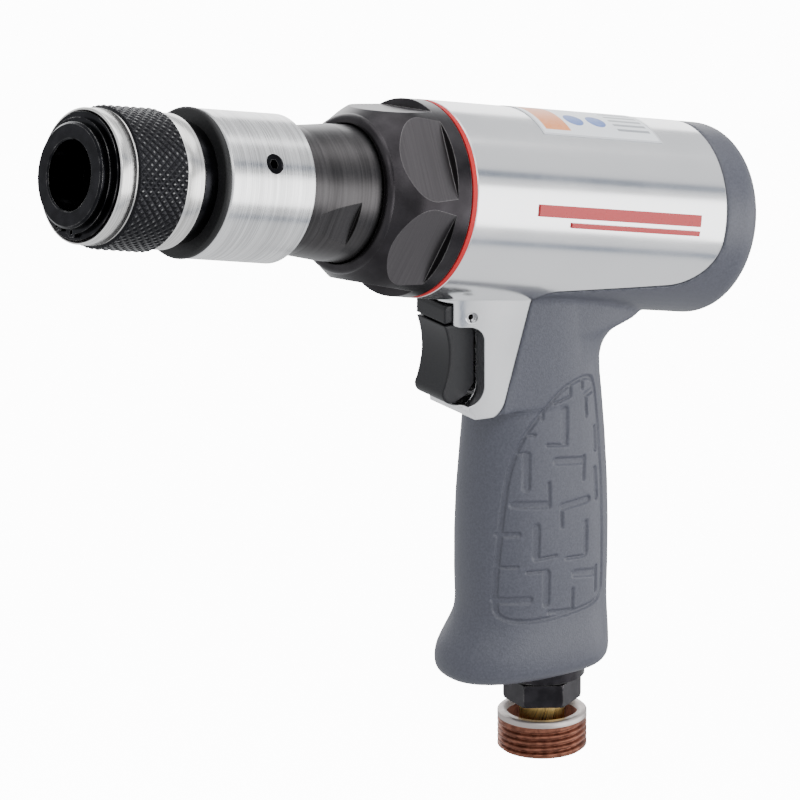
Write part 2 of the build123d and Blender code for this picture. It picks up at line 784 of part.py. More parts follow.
def exhaust_collar():
    """Ring under the silencer with a circle of exhaust holes."""
    s0 = SILENCER_S0 + SILENCER_T
    s1 = HEX_S - SEAL_T
    ring = across_handle(s0, s1, COLLAR_R) - across_handle(s0 - 1, s1 + 1, AIR_BORE_R)
    for i in range(12):
        hole = handle_plane(s0) * Rot(0, 0, 30 * i) * Pos(10.2, 0, 0) * Cylinder(0.8, 20)
        ring -= hole
    return ring


def inlet_seal():
    s0 = HEX_S - SEAL_T
    return across_handle(s0, HEX_S, 9.4) - across_handle(s0 - 1, HEX_S + 1, AIR_BORE_R)


def inlet_bushing():
    hexagon = RegularPolygon(HEX_AF / 2, 6, major_radius=False, rotation=HEX_TURN)
    head = extrude(handle_plane(HEX_S) * hexagon, HEX_T)
    # rounded corners, as a nut has
    mid = HEX_S + HEX_T / 2
    corner_r = HEX_AF / 2 / cos(radians(30))
    ball = handle_plane(mid) * Sphere(sqrt(corner_r ** 2 + (HEX_T / 2 - 1.0) ** 2))
    head &= ball
    body = head + across_handle(SCREEN_S + SCREEN_T, HEX_S, AIR_BORE_R)
    return body - across_handle(SCREEN_S - 1, HEX_S + HEX_T + 1, NIPPLE_NECK_R)


def inlet_screen():
    screen = across_handle(SCREEN_S, SCREEN_S + SCREEN_T, AIR_BORE_R)
    for ring_r, count in ((0.0, 1), (2.4, 6), (4.8, 12)):
        for i in range(count):
            hole = handle_plane(SCREEN_S) * Rot(0, 0, 360 / count * i) * Pos(ring_r, 0, 0) * Cylinder(0.8, 4)
            screen -= hole
    return screen


def nipple_shoulder_s():
    return COUPLER_S + COUPLER_LENGTH - COUPLER_WEB_T - 0.3


def nipple_end_s():
    return COUPLER_S + COUPLER_LENGTH + 0.3 + CLIP_T + 0.6


def hose_nipple():
    s0 = SCREEN_S + 9.0
    end = nipple_end_s()
    body = across_handle(s0, end, NIPPLE_NECK_R)
    body += across_handle(HEX_S + HEX_T, nipple_shoulder_s(), NIPPLE_R)
    groove_s = COUPLER_S + COUPLER_LENGTH + 0.3
    groove = across_handle(groove_s, groove_s + CLIP_T, NIPPLE_NECK_R + 1)
    body -= groove - across_handle(groove_s, groove_s + CLIP_T, NIPPLE_NECK_R - 0.5)
    return body - across_handle(s0 - 1, end + 1, NIPPLE_BORE_R)


def hose_coupling():
    s0 = COUPLER_S
    s1 = s0 + COUPLER_LENGTH
    body = across_handle(s0, s1, COUPLER_R)
    body -= across_handle(s0 - 1, s1 - COUPLER_WEB_T, COUPLER_BORE_R)
    return body - across_handle(s0, s1 + 1, NIPPLE_NECK_R + RUN)


def coupling_clip():
    s0 = COUPLER_S + COUPLER_LENGTH + 0.3
    clip = across_handle(s0, s0 + CLIP_T, 6.6) - across_handle(s0 - 1, s0 + CLIP_T + 1, NIPPLE_NECK_R - 0.5)
    return clip - handle_plane(s0) * Pos(-6, 0, 0) * Box(6, 3.0, 4)


# ---------------------------------------------------------------- labels
def housing_r(x):
    x0 = CAP_X1 + GASKET_T + 0.4
    x1 = HOUSING_END_X - HOUSING_END_ROUND
    return HOUSING_R + (HOUSING_REAR_R - HOUSING_R) * (x - x0) / (x1 - x0)


def curved_plate(x0, x1, thickness, angle0, angle1):
    """Thin plate on the housing; angles run from +Y towards +Z."""
    outline = Polyline(
        (x0, housing_r(x0)), (x1, housing_r(x1)),
        (x1, housing_r(x1) + thickness), (x0, housing_r(x0) + thickness), close=True)
    return Rot(angle0, 0, 0) * revolve(make_face(outline), Axis.X, angle1 - angle0)


def label_plate():
    return curved_plate(LABEL_X0, LABEL_X1, LABEL_T, 90 - LABEL_HALF_ANGLE, 90 + LABEL_HALF_ANGLE)


def side_stripe():
    """Two plain raised bars on the tool's left side."""
    wide = curved_plate(STRIPE_X0, STRIPE_X1, STRIPE_T, 166.0, 173.0)
    narrow = curved_plate(STRIPE_X0 + 12, STRIPE_X1, STRIPE_T, 175.5, 178.5)
    return Compound([wide, narrow])


# ---------------------------------------------------------------- all nodes
def build():
    housing, overmould = housing_and_overmould()
    nodes = {
        "chuck_body": chuck_body(),
        "chuck_snap_ring": snap_ring(),
        "chuck_stop_washer": stop_washer(),
        "chuck_sleeve": chuck_sleeve(),
        "chuck_spring": chuck_spring(),
        "chuck_neck_ring": neck_ring(),
        "bumper_ring": bumper_ring(),
        "coupling_collar": coupling_collar(),
        "coupling_set_screw": coupling_set_screw(),
        "shank_bushing": shank_bushing(),
        "barrel": barrel() - dowel_hole(),
        "piston": piston(),
        "barrel_seal": barrel_seal(),
        "front_cap": front_cap(),
        "cap_gasket": cap_gasket(),
        "housing": housing,
        "grip_overmould": overmould,
        "valve_block": valve_block(),
        "valve_plate": valve_plate(),
        "valve_cover": valve_cover(),
        "valve_dowel": dowel_hole(),
        "rear_bumper": rear_bumper(),
        "trigger": trigger(),
        "trigger_pin": trigger_pin(),
        "throttle_pin": throttle_pin(),
        "throttle_bushing": throttle_bushing(),
        "throttle_seat": throttle_seat(),
        "throttle_valve": throttle_valve(),
        "throttle_spring": throttle_spring(),
        "silencer": silencer(),
        "exhaust_collar": exhaust_collar(),
        "inlet_screen": inlet_screen(),
        "inlet_bushing": inlet_bushing(),
        "inlet_seal": inlet_seal(),
        "hose_nipple": hose_nipple(),
        "hose_coupling": hose_coupling(),
        "coupling_clip": coupling_clip(),
        "label_plate": label_plate(),
        "side_stripe": side_stripe(),
    }
    for i in range(BALL_COUNT):
        nodes[f"chuck_ball_{i + 1}"] = chuck_ball(i)
    return nodes


if __name__ == "__main__":
    os.makedirs("parts", exist_ok=True)
    for name, shape in build().items():
        export_step(shape, f"parts/{name}.step")
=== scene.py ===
# %% [markdown]
# A pneumatic rivet gun, finished in Blender around a CAD frame that already holds every size.
# The frame gives each part's mesh and place. This file makes what the CAD leaves out: the knurl,
# the moulded grip with its panels, the thread, the printed label and the finish of every metal.

# %% Load the frame
import bpy
import bmesh
import json
import numpy as np
from math import cos, pi, radians, sin
from mathutils import Matrix, Vector


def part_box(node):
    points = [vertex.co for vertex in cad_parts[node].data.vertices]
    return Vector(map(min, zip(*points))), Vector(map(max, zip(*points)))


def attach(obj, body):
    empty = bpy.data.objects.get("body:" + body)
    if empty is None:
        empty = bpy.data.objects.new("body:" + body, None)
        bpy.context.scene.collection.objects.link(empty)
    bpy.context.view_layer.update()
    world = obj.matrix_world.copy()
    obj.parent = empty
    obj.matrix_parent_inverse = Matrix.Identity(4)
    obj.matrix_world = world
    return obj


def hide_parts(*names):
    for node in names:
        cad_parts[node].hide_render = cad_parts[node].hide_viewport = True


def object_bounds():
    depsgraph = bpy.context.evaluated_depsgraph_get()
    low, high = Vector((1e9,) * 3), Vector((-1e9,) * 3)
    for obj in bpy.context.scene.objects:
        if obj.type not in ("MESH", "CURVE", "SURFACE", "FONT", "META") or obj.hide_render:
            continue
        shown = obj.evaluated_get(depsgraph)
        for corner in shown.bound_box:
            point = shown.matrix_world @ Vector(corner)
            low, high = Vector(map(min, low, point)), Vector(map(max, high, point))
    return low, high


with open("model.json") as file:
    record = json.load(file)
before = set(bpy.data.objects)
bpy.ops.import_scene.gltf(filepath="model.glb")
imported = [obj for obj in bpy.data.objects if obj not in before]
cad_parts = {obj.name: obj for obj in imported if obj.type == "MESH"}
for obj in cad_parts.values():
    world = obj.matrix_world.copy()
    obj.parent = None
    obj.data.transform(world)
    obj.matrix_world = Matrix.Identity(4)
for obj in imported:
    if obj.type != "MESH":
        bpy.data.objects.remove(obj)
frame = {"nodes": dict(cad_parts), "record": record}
cad_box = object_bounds()
print("CAD box, m:", cad_box)
MM = 0.001


def place_of(joint_name):
    """A joint's record from the frame: its axis and, for a hinge, its centre."""
    for joint in frame["record"]["behaviour"]["joints"]:
        if joint["name"] == joint_name:
            return joint


# %% [markdown]
# The handle is raked, so its details are easier to place in its own directions: u runs
# rearward across the handle and s runs down along it. Both come from the frame's joints, so
# they follow the CAD if the rake changes.

# %% Directions of the handle
spin = place_of("coupling_spin")
DOWN = Vector(spin["axis"]).normalized()
BACK = Vector((-DOWN.z, 0, DOWN.x))
inlet = Vector(spin["pos_m"])
AXIS_POINT = inlet - DOWN * (inlet.z / DOWN.z)
print("handle axis meets the barrel axis at x =", round(AXIS_POINT.x, 4))

# %% [markdown]
# Camera first. A product shot of a long tool is taken from far away with a long lens, so the
# near end doesn't swell. The tool is tipped a little in the picture, muzzle up, which is a
# camera roll here because the CAD stays level.

# %% Camera
AIM = Vector((0.1282, 0, -0.0572))
CAMERA_DISTANCE = 3.316
CAMERA_AZIMUTH = -39.29
CAMERA_ELEVATION = 10.73
CAMERA_ROLL = 11.76
LENS = 540


def aim_rotation(direction, roll):
    """Rotation of a camera or lamp that looks along a direction, with world +Z up before its roll."""
    back = -direction.normalized()
    right = Vector((0, 0, 1)).cross(back).normalized()
    up = back.cross(right)
    turn = Matrix((right, up, back)).transposed()
    return (turn @ Matrix.Rotation(radians(roll), 3, "Z")).to_euler()


def make_camera():
    azimuth = radians(CAMERA_AZIMUTH)
    elevation = radians(CAMERA_ELEVATION)
    back = Vector((sin(azimuth) * cos(elevation), -cos(azimuth) * cos(elevation), sin(elevation)))
    data = bpy.data.cameras.new("camera")
    data.lens = LENS
    data.sensor_width = 36
    data.clip_end = 20
    camera = bpy.data.objects.new("camera", data)
    bpy.context.collection.objects.link(camera)
    camera.location = AIM + back * CAMERA_DISTANCE
    camera.rotation_euler = aim_rotation(-back, CAMERA_ROLL)
    bpy.context.scene.camera = camera


make_camera()

# %% [markdown]
# Studio: a pale floor well below the tool, and large soft lamps. Polished metal shows the room
# more than its own colour, so the lamps' shapes matter as much as their strength. Two long
# grey cards beside the tool draw the two thin dark bands that run along the housing: without
# them a polished cylinder in a white room has no shape at all.

# %% Studio
FLOOR_DROP = 0.35
FLOOR_GLOW = 12.0
CARD_LENGTH = 2.4
CARD_GREY = (0.16, 0.19, 0.25, 1)


def flat_object(name, corners, colour, roughness):
    mesh = bpy.data.meshes.new(name)
    mesh.from_pydata(corners, [], [(0, 1, 2, 3)])
    thing = bpy.data.objects.new(name, mesh)
    bpy.context.collection.objects.link(thing)
    material = bpy.data.materials.new(name)
    material.use_nodes = True
    shader = material.node_tree.nodes["Principled BSDF"]
    shader.inputs["Base Color"].default_value = colour
    shader.inputs["Roughness"].default_value = roughness
    shader.inputs["Specular IOR Level"].default_value = 0.1
    mesh.materials.append(material)
    return thing


def make_floor():
    size = 6.0
    corners = [(-size, -size, 0), (size, -size, 0), (size, size, 0), (-size, size, 0)]
    floor = flat_object("floor", corners, (0.93, 0.93, 0.93, 1), 0.9)
    floor.location.z = cad_box[0][2] - FLOOR_DROP
    glow = floor.data.materials[0].node_tree.nodes["Principled BSDF"]
    glow.inputs["Emission Color"].default_value = (1, 1, 1, 1)
    glow.inputs["Emission Strength"].default_value = FLOOR_GLOW
    floor.visible_diffuse = False
    floor.visible_glossy = False


def make_card(name, middle, width):
    """A long grey strip parallel to the barrel that faces the tool."""
    middle = Vector(middle)
    along = Vector((CARD_LENGTH / 2, 0, 0))
    across = along.cross(middle - Vector(CENTRE)).normalized() * width / 2
    corners = [
        middle - along - across,
        middle + along - across,
        middle + along + across,
        middle - along + across,
    ]
    card = flat_object(name, corners, CARD_GREY, 0.8)
    card.visible_camera = False
    card.visible_shadow = False
    card.visible_diffuse = False


def make_lamp(name, place, target, size, power, colour=(1, 1, 1)):
    data = bpy.data.lights.new(name, "AREA")
    data.shape = "RECTANGLE"
    data.size = size[0]
    data.size_y = size[1]
    data.energy = power
    data.color = colour
    lamp = bpy.data.objects.new(name, data)
    bpy.context.collection.objects.link(lamp)
    lamp.location = place
    lamp.rotation_euler = aim_rotation(Vector(target) - Vector(place), 0)


def make_world():
    world = bpy.data.worlds.new("studio")
    world.use_nodes = True
    shade = world.node_tree.nodes["Background"]
    shade.inputs["Color"].default_value = (0.96, 0.975, 1.0, 1)
    shade.inputs["Strength"].default_value = 1.05
    bpy.context.scene.world = world


CENTRE = (0.12, 0, -0.03)
make_floor()
make_world()
make_card("card_high", (0.75, -0.52, 0.56), 0.11)
make_card("card_low", (0.75, -0.62, -0.40), 0.09)
make_lamp("side", (0.9, -1.05, 0.16), CENTRE, (2.6, 0.85), 20)
make_lamp("key", (-0.6, -1.0, 1.1), CENTRE, (1.2, 0.8), 10)
make_lamp("top", (0.2, 0.1, 1.3), CENTRE, (1.6, 0.9), 10)
make_lamp("back", (0.6, 1.3, 0.4), CENTRE, (1.6, 0.9), 10)

# %% [markdown]
# A material is easier to read as arithmetic than as a list of nodes and links. A Field wraps
# one shader socket, and sums and products of fields make the Math nodes. Everything else goes
# through its node method, which takes a node type, its settings and its inputs.

# %% Shader arithmetic


class Field:
    """A shader socket that can stand in a sum, a product or a comparison."""

    def __init__(self, socket):
        self.socket = socket

    def node(self, kind, settings=None, inputs=None, output=0):
        """Any other node in the same material, with its chosen output as a field."""
        node = self.socket.id_data.nodes.new(kind)
        for name, value in (settings or {}).items():
            setattr(node, name, value)
        for name, value in (inputs or {}).items():
            feed(node.inputs[name], value)
        return Field(node.outputs[output])

    def math(self, operation, *others):
        return self.node("ShaderNodeMath", {"operation": operation}, dict(enumerate((self, *others))))

    def __add__(self, other):
        return self.math("ADD", other)

    def __sub__(self, other):
        return self.math("SUBTRACT", other)

    def __rsub__(self, other):
        return (self * -1.0) + other

    def __mul__(self, other):
        return self.math("MULTIPLY", other)

    def __truediv__(self, other):
        return self.math("DIVIDE", other)

    def __pow__(self, other):
        return self.math("POWER", other)

    def __lt__(self, other):
        return self.math("LESS_THAN", other)

    def __gt__(self, other):
        return self.math("GREATER_THAN", other)

    __radd__ = __add__
    __rmul__ = __mul__


def feed(socket, value):
    """Links a field to a socket, or sets the socket to a plain value."""
    if isinstance(value, Field):
        socket.id_data.links.new(value.socket, socket)
    else:
        socket.default_value = value


def rgb(colour):
    return (*colour, 1)


def mixed(factor, low, high):
    """Colour that goes from low to high as the factor goes from 0 to 1."""
    return factor.node("ShaderNodeMix", {"data_type": "RGBA"}, {0: factor, 6: low, 7: high}, output=2)


def steps(value, low, high):
    """0 below low, 1 above high and smooth between them."""
    return value.node("ShaderNodeMapRange", {"interpolation_type": "SMOOTHSTEP"},
                      {"Value": value, "From Min": low, "From Max": high})


def between(value, low, high):
    """1 inside a range and 0 outside it."""
    return (value > low) * (value < high)


def scaled(place, factors):
    return place.node("ShaderNodeVectorMath", {"operation": "MULTIPLY"}, {0: place, 1: factors})


def noise(place, scale, detail=3.0):
    return place.node("ShaderNodeTexNoise", {}, {"Vector": place, "Scale": scale, "Detail": detail})


def parts_of(place):
    """The three coordinates of a place, in millimetres."""
    in_mm = scaled(place, (1000, 1000, 1000))
    return [in_mm.node("ShaderNodeSeparateXYZ", {}, {0: in_mm}, output=i) for i in range(3)]


def bumped(height, distance, normal=None, strength=1.0):
    inputs = {"Height": height, "Distance": distance, "Strength": strength}
    if normal:
        inputs["Normal"] = normal
    return height.node("ShaderNodeBump", {}, inputs)


def soft_edges(place, radius):
    """Normal that rounds a machined edge, as a file or a tumbler leaves it."""
    return place.node("ShaderNodeBevel", {"samples": 4}, {"Radius": radius})


def edge_wear_and_highlight(place, radius):
    """Near 1 on an outside edge and 0 on a flat face. It masks edge wear and a painted edge highlight."""
    rounded = soft_edges(place, radius)
    flat = place.node("ShaderNodeNewGeometry", {}, {}, output="Normal")
    facing = place.node("ShaderNodeVectorMath", {"operation": "DOT_PRODUCT"},
                        {0: rounded, 1: flat}, output="Value")
    return steps(1.0 - facing, 0.01, 0.12)


def new_material(name, **constants):
    """A material with its plain values set; returns it with its shader and the place field."""
    material = bpy.data.materials.new(name)
    material.use_nodes = True
    shader = material.node_tree.nodes["Principled BSDF"]
    for key, value in constants.items():
        shader.inputs[key.replace("_", " ")].default_value = value
    texture = material.node_tree.nodes.new("ShaderNodeTexCoord")
    return material, shader, Field(texture.outputs["Object"])


MATERIALS = {}


def assign(slot, *node_names):
    """Gives these CAD nodes the finish of one slot."""
    for name in node_names:
        for holder in frame["nodes"][name].material_slots:
            holder.material = MATERIALS[slot]


def nodes_with(slot):
    return [part["node"] for part in frame["record"]["subparts"] if part["material_slot"] == slot]


# %% [markdown]
# Turned steel. A lathe leaves rings around the axis, far finer than the part, with a few
# deeper ones. Noise that is stretched round the axis gives both. The blackened pieces are the
# same metal under a thin oxide, which rubs off along the edges first. Their paler edges are
# also a painted highlight along every outside edge.

# %% Turned and blackened steel


def turned_steel(name, colour, roughness, rings=3000, depth=0.00002):
    material, shader, place = new_material(name, Base_Color=rgb(colour), Metallic=1.0)
    fine = noise(scaled(place, (rings, 40, 40)), 1.0, 2.0)
    coarse = noise(scaled(place, (rings / 6, 15, 15)), 1.0, 2.0)
    grain = fine * 0.6 + coarse * 0.4
    feed(shader.inputs["Roughness"], grain * 0.22 + (roughness - 0.11))
    bright = tuple(min(1.0, c * 1.18) for c in colour)
    dark = tuple(c * 0.78 for c in colour)
    feed(shader.inputs["Base Color"], mixed(steps(grain, 0.35, 0.65), rgb(dark), rgb(bright)))
    feed(shader.inputs["Normal"], bumped(grain, depth, soft_edges(place, 0.25 * MM)))
    MATERIALS[name] = material


def black_steel(name, colour, roughness, worn_and_highlit=(0.34, 0.33, 0.32)):
    material, shader, place = new_material(name, Metallic=1.0)
    blotch = noise(place, 260, 4.0)
    scratches = noise(scaled(place, (900, 90, 90)), 1.0, 3.0)
    # Paler outside edges: worn oxide, and also a painted highlight along the edges.
    wear_and_highlight = edge_wear_and_highlight(place, 0.22 * MM) * steps(blotch, 0.35, 0.7)
    low = tuple(c * 0.75 for c in colour)
    high = tuple(c * 1.35 for c in colour)
    body = mixed(steps(blotch, 0.3, 0.7), rgb(low), rgb(high))
    feed(shader.inputs["Base Color"], mixed(wear_and_highlight, body, rgb(worn_and_highlit)))
    feed(shader.inputs["Roughness"], blotch * 0.12 + scratches * 0.1 + (roughness - 0.1))
    feed(shader.inputs["Normal"], bumped(scratches, 0.00001, soft_edges(place, 0.25 * MM)))
    MATERIALS[name] = material


turned_steel("sleeve_steel", (0.70, 0.69, 0.67), 0.26)
turned_steel("collar_steel", (0.74, 0.74, 0.74), 0.22)
turned_steel("barrel_steel", (0.062, 0.059, 0.060), 0.34, rings=1500, depth=0.00004)
turned_steel("inner_steel", (0.45, 0.45, 0.45), 0.3)
turned_steel("spring_steel", (0.45, 0.45, 0.46), 0.28)
turned_steel("brass", (0.72, 0.50, 0.18), 0.3)
black_steel("black_steel", (0.013, 0.013, 0.015), 0.22)
black_steel("hex_steel", (0.028, 0.026, 0.029), 0.34)
for metal in list(MATERIALS):
    assign(metal, *nodes_with(metal))
print("metals:", list(MATERIALS))

# %% [markdown]
# The front cap is gunmetal all over, but its six flats were milled after it was darkened, so
# they are paler and carry straight tool marks. A point lies on a flat when its distance
# from the axis, measured square to the nearest flat, is that flat's own distance.

# %% Front cap
CAP_FLAT_X = 112.2
CAP_FLAT_DIST = 24.75
CAP_FLAT_SLOPE = 0.0752
CAP_FLAT_TURN = 81.0
CAP_FLATS = 6


def on_flat(x, y, z, count, turn, distance):
    """1 on the flats: count of them around the axis, the first one turned from +Y towards +Z."""
    angle = z.math("ARCTAN2", y) - radians(turn)
    sector = 2 * pi / count
    folded = (angle / sector).math("ROUND") * sector
    off_middle = angle - folded
    radius = (y * y + z * z) ** 0.5
    gap = radius * off_middle.math("COSINE") - distance
    return gap.math("ABSOLUTE") < 0.05


def cap_steel():
    material, shader, place = new_material("cap_steel", Metallic=1.0)
    x, y, z = parts_of(place)
    distance = (x - CAP_FLAT_X) * CAP_FLAT_SLOPE + CAP_FLAT_DIST
    flat = on_flat(x, y, z, CAP_FLATS, CAP_FLAT_TURN, distance) * (x < CAP_FLAT_X)
    blotch = noise(place, 120, 4.0)
    rings = noise(scaled(place, (2600, 40, 40)), 1.0, 2.0)
    body = mixed(steps(blotch, 0.3, 0.7), (0.024, 0.022, 0.024, 1), (0.040, 0.037, 0.040, 1))
    milled = mixed(rings, (0.075, 0.070, 0.073, 1), (0.115, 0.108, 0.112, 1))
    # Paler rim on the cap's edges: worn gunmetal, and also a painted edge highlight.
    worn_and_highlit = edge_wear_and_highlight(place, 0.3 * MM) * steps(blotch, 0.3, 0.6) * 0.8
    feed(shader.inputs["Base Color"], mixed(worn_and_highlit, mixed(flat, body, milled), (0.30, 0.29, 0.29, 1)))
    feed(shader.inputs["Roughness"], rings * 0.12 + (flat * 0.05 + 0.27))
    feed(shader.inputs["Normal"], bumped(rings, 0.00002, soft_edges(place, 0.4 * MM)))
    MATERIALS["cap_steel"] = material


cap_steel()
assign("cap_steel", "front_cap")

# %% [markdown]
# The housing is polished aluminium. Polishing leaves it bright with a faint haze and very fine
# lines around the cylinder, so a lamp's reflection has a soft edge. A clear mirror would look
# like chrome instead.

# %% Housing, gasket, balls, felt and seals


def polished_aluminium():
    material, shader, place = new_material("housing_aluminium",
                                           Base_Color=(0.90, 0.90, 0.91, 1), Metallic=1.0)
    lines = noise(scaled(place, (2200, 30, 30)), 1.0, 3.0)
    haze = noise(place, 45, 3.0)
    feed(shader.inputs["Roughness"], lines * 0.05 + haze * 0.10 + 0.10)
    feed(shader.inputs["Base Color"], mixed(haze, (0.86, 0.865, 0.875, 1), (0.93, 0.93, 0.935, 1)))
    feed(shader.inputs["Normal"], bumped(lines, 0.000006, soft_edges(place, 0.5 * MM)))
    MATERIALS["housing_aluminium"] = material


def soft_material(name, dark, bright, roughness, scale, depth):
    """Rubber, fibre or felt: a fine mottle in colour, roughness and height."""
    material, shader, place = new_material(name, Specular_IOR_Level=0.3)
    grain = noise(place, scale, 4.0)
    feed(shader.inputs["Base Color"], mixed(grain, rgb(dark), rgb(bright)))
    feed(shader.inputs["Roughness"], grain * 0.15 + (roughness - 0.07))
    feed(shader.inputs["Normal"], bumped(grain, depth, soft_edges(place, 0.2 * MM)))
    MATERIALS[name] = material


def polished_ball():
    material, shader, place = new_material("ball_steel", Base_Color=(0.78, 0.78, 0.78, 1), Metallic=1.0)
    feed(shader.inputs["Roughness"], noise(place, 900, 2.0) * 0.06 + 0.05)
    MATERIALS["ball_steel"] = material


def gloss_stripe():
    material, shader, place = new_material("stripe_red", Coat_Weight=0.4)
    shader.inputs["Specular IOR Level"].default_value = 0.3
    speck = noise(place, 1500, 2.0)
    feed(shader.inputs["Base Color"], mixed(speck, (0.36, 0.004, 0.008, 1), (0.46, 0.007, 0.012, 1)))
    feed(shader.inputs["Roughness"], speck * 0.1 + 0.24)
    MATERIALS["stripe_red"] = material


polished_aluminium()
soft_material("gasket_red", (0.40, 0.010, 0.012), (0.52, 0.018, 0.020), 0.6, 1400, 0.00004)
soft_material("seal_rubber", (0.006, 0.006, 0.006), (0.012, 0.012, 0.013), 0.45, 1800, 0.00002)
soft_material("silencer_felt", (0.18, 0.18, 0.18), (0.32, 0.31, 0.30), 0.95, 1600, 0.0001)
soft_material("trigger_black", (0.006, 0.006, 0.007), (0.011, 0.011, 0.013), 0.40, 2600, 0.000012)
polished_ball()
gloss_stripe()
PLAIN_SLOTS = ("housing_aluminium", "gasket_red", "seal_rubber", "silencer_felt", "ball_steel", "stripe_red")
for slot_name in PLAIN_SLOTS:
    assign(slot_name, *nodes_with(slot_name))
print("more finishes:", len(MATERIALS))

# %% [markdown]
# The label is a printed film on top of the housing. The print is plain blocks: an orange
# field at the front, two blue discs and a few grey lines, with nothing to read. Each block
# is a range along the barrel and a range of angle round it.

# %% Printed label
LABEL_X = (148.0, 190.5)
LABEL_RADIUS = 27.3
DISCS = (163.5, 171.5)
DISC_RADIUS = 3.1
LINE_PITCH = 2.6


def printed_label():
    material, shader, place = new_material("label")
    x, y, z = parts_of(place)
    across = y.math("ARCTAN2", z) * LABEL_RADIUS
    orange = between(x, LABEL_X[0] + 2.0, LABEL_X[0] + 11.0) * between(across, -12.0, 12.0)
    rows = (across / LINE_PITCH).math("FRACT") < 0.45
    lines = between(x, 177.0, LABEL_X[1] - 2.0) * between(across, -10.4, 10.4) * rows
    rim = 1.0 - between(x, LABEL_X[0] + 0.7, LABEL_X[1] - 0.7) * between(across, -13.6, 13.6)
    ink = (0.80, 0.83, 0.86, 1)
    print_colour = mixed(orange, ink, (0.80, 0.22, 0.02, 1))
    for centre in DISCS:
        dx = x - centre
        dy = across + 6.0
        disc = ((dx * dx + dy * dy) ** 0.5) < DISC_RADIUS
        print_colour = mixed(disc, print_colour, (0.01, 0.10, 0.42, 1))
    print_colour = mixed(lines, print_colour, (0.25, 0.27, 0.30, 1))
    print_colour = mixed(rim, print_colour, (0.55, 0.57, 0.60, 1))
    film = noise(place, 900, 2.0)
    feed(shader.inputs["Base Color"], mixed(film * 0.2, print_colour, (0.9, 0.9, 0.9, 1)))
    feed(shader.inputs["Roughness"], film * 0.12 + 0.28)
    MATERIALS["label"] = material


printed_label()
assign("label", "label_plate")

# %% [markdown]
# Round pieces with a surface pattern are built here as a grid: an outline of (x, radius)
# points turned about an axis, with a height function that lifts or sinks each point. The
# pattern is real geometry, so it shows in the outline of the piece and in its shadows.

# %% Turned pieces


def finished(obj, body, slot_name, *replaced):
    """Every new piece ends the same way: smooth, in its finish, riding its body."""
    obj.data.materials.clear()
    obj.data.materials.append(MATERIALS[slot_name])
    for face in obj.data.polygons:
        face.use_smooth = True
    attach(obj, body)
    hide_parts(*replaced)
    return obj


def turned_piece(name, outline, columns, lift, place=None):
    """A closed outline in millimetres turned about X.

    lift(x, angle) is added to the radius of marked points.
    """
    rows = len(outline)
    points = []
    for x, r, marked in outline:
        for j in range(columns):
            a = 2 * pi * j / columns
            radius = r + (lift(x, a) if marked else 0.0)
            points.append((x * MM, radius * cos(a) * MM, radius * sin(a) * MM))
    faces = []
    for i in range(rows):
        below = (i + 1) % rows
        for j in range(columns):
            right = (j + 1) % columns
            faces.append((i * columns + j, i * columns + right, below * columns + right, below * columns + j))
    mesh = bpy.data.meshes.new(name)
    mesh.from_pydata(points, [], faces)
    if place:
        mesh.transform(place)
    work = bmesh.new()
    work.from_mesh(mesh)
    bmesh.ops.recalc_face_normals(work, faces=work.faces)
    work.to_mesh(mesh)
    work.free()
    obj = bpy.data.objects.new(name, mesh)
    bpy.context.collection.objects.link(obj)
    return obj


def densely(x0, x1, r, pitch):
    """Marked outline points from x0 to x1 at one radius."""
    count = int(abs(x1 - x0) / pitch)
    return [(x0 + (x1 - x0) * i / count, r, True) for i in range(count + 1)]


def triangle_wave(t):
    """0 in a groove, 1 on a ridge."""
    return 1 - abs(2 * (t % 1.0) - 1)


# %% [markdown]
# The knurl is two families of helical grooves that cross, which leave small pyramids. Black
# oxide fills the band, and handling polishes the tips of the pyramids first. The plain lands
# at both ends stay bright. The bore is only stepped: it leaves out the CAD sleeve's ramp.

# %% Knurled sleeve
low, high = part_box("chuck_sleeve")
SLEEVE_X0 = low.x / MM
SLEEVE_X1 = high.x / MM
SLEEVE_R = 18.6
KNURL_R = high.y / MM
KNURL_X = (9.2, 25.6)
KNURL_TEETH = 100
KNURL_DEPTH = 0.42
KNURL_PITCH = 1.3
SLEEVE_EDGE = 0.5
SLEEVE_RIM = 0.8       # wall round the open front
SPRING_WALL = 1.4      # wall round the spring
SPRING_SEAT_X = 24.0
LOCK_X = 9.0
LOCK_STEP = 2.8        # how far the bore over the balls stands in
WASHER_STEP = 1.4
WASHER_X = 4.9
BAND_GROOVE = 0.12     # depth of the groove at each end of the knurl
SLEEVE_COLUMNS = 600


def knurl(x, a):
    turn = KNURL_TEETH * a / (2 * pi)
    along = x / KNURL_PITCH
    tip = min(triangle_wave((turn + along) / 2), triangle_wave((turn - along) / 2))
    fade = min(1.0, (x - KNURL_X[0]) / 0.5, (KNURL_X[1] - x) / 0.5)
    return -KNURL_DEPTH * (1 - min(tip * 1.25, 1.0)) * max(fade, 0.0)


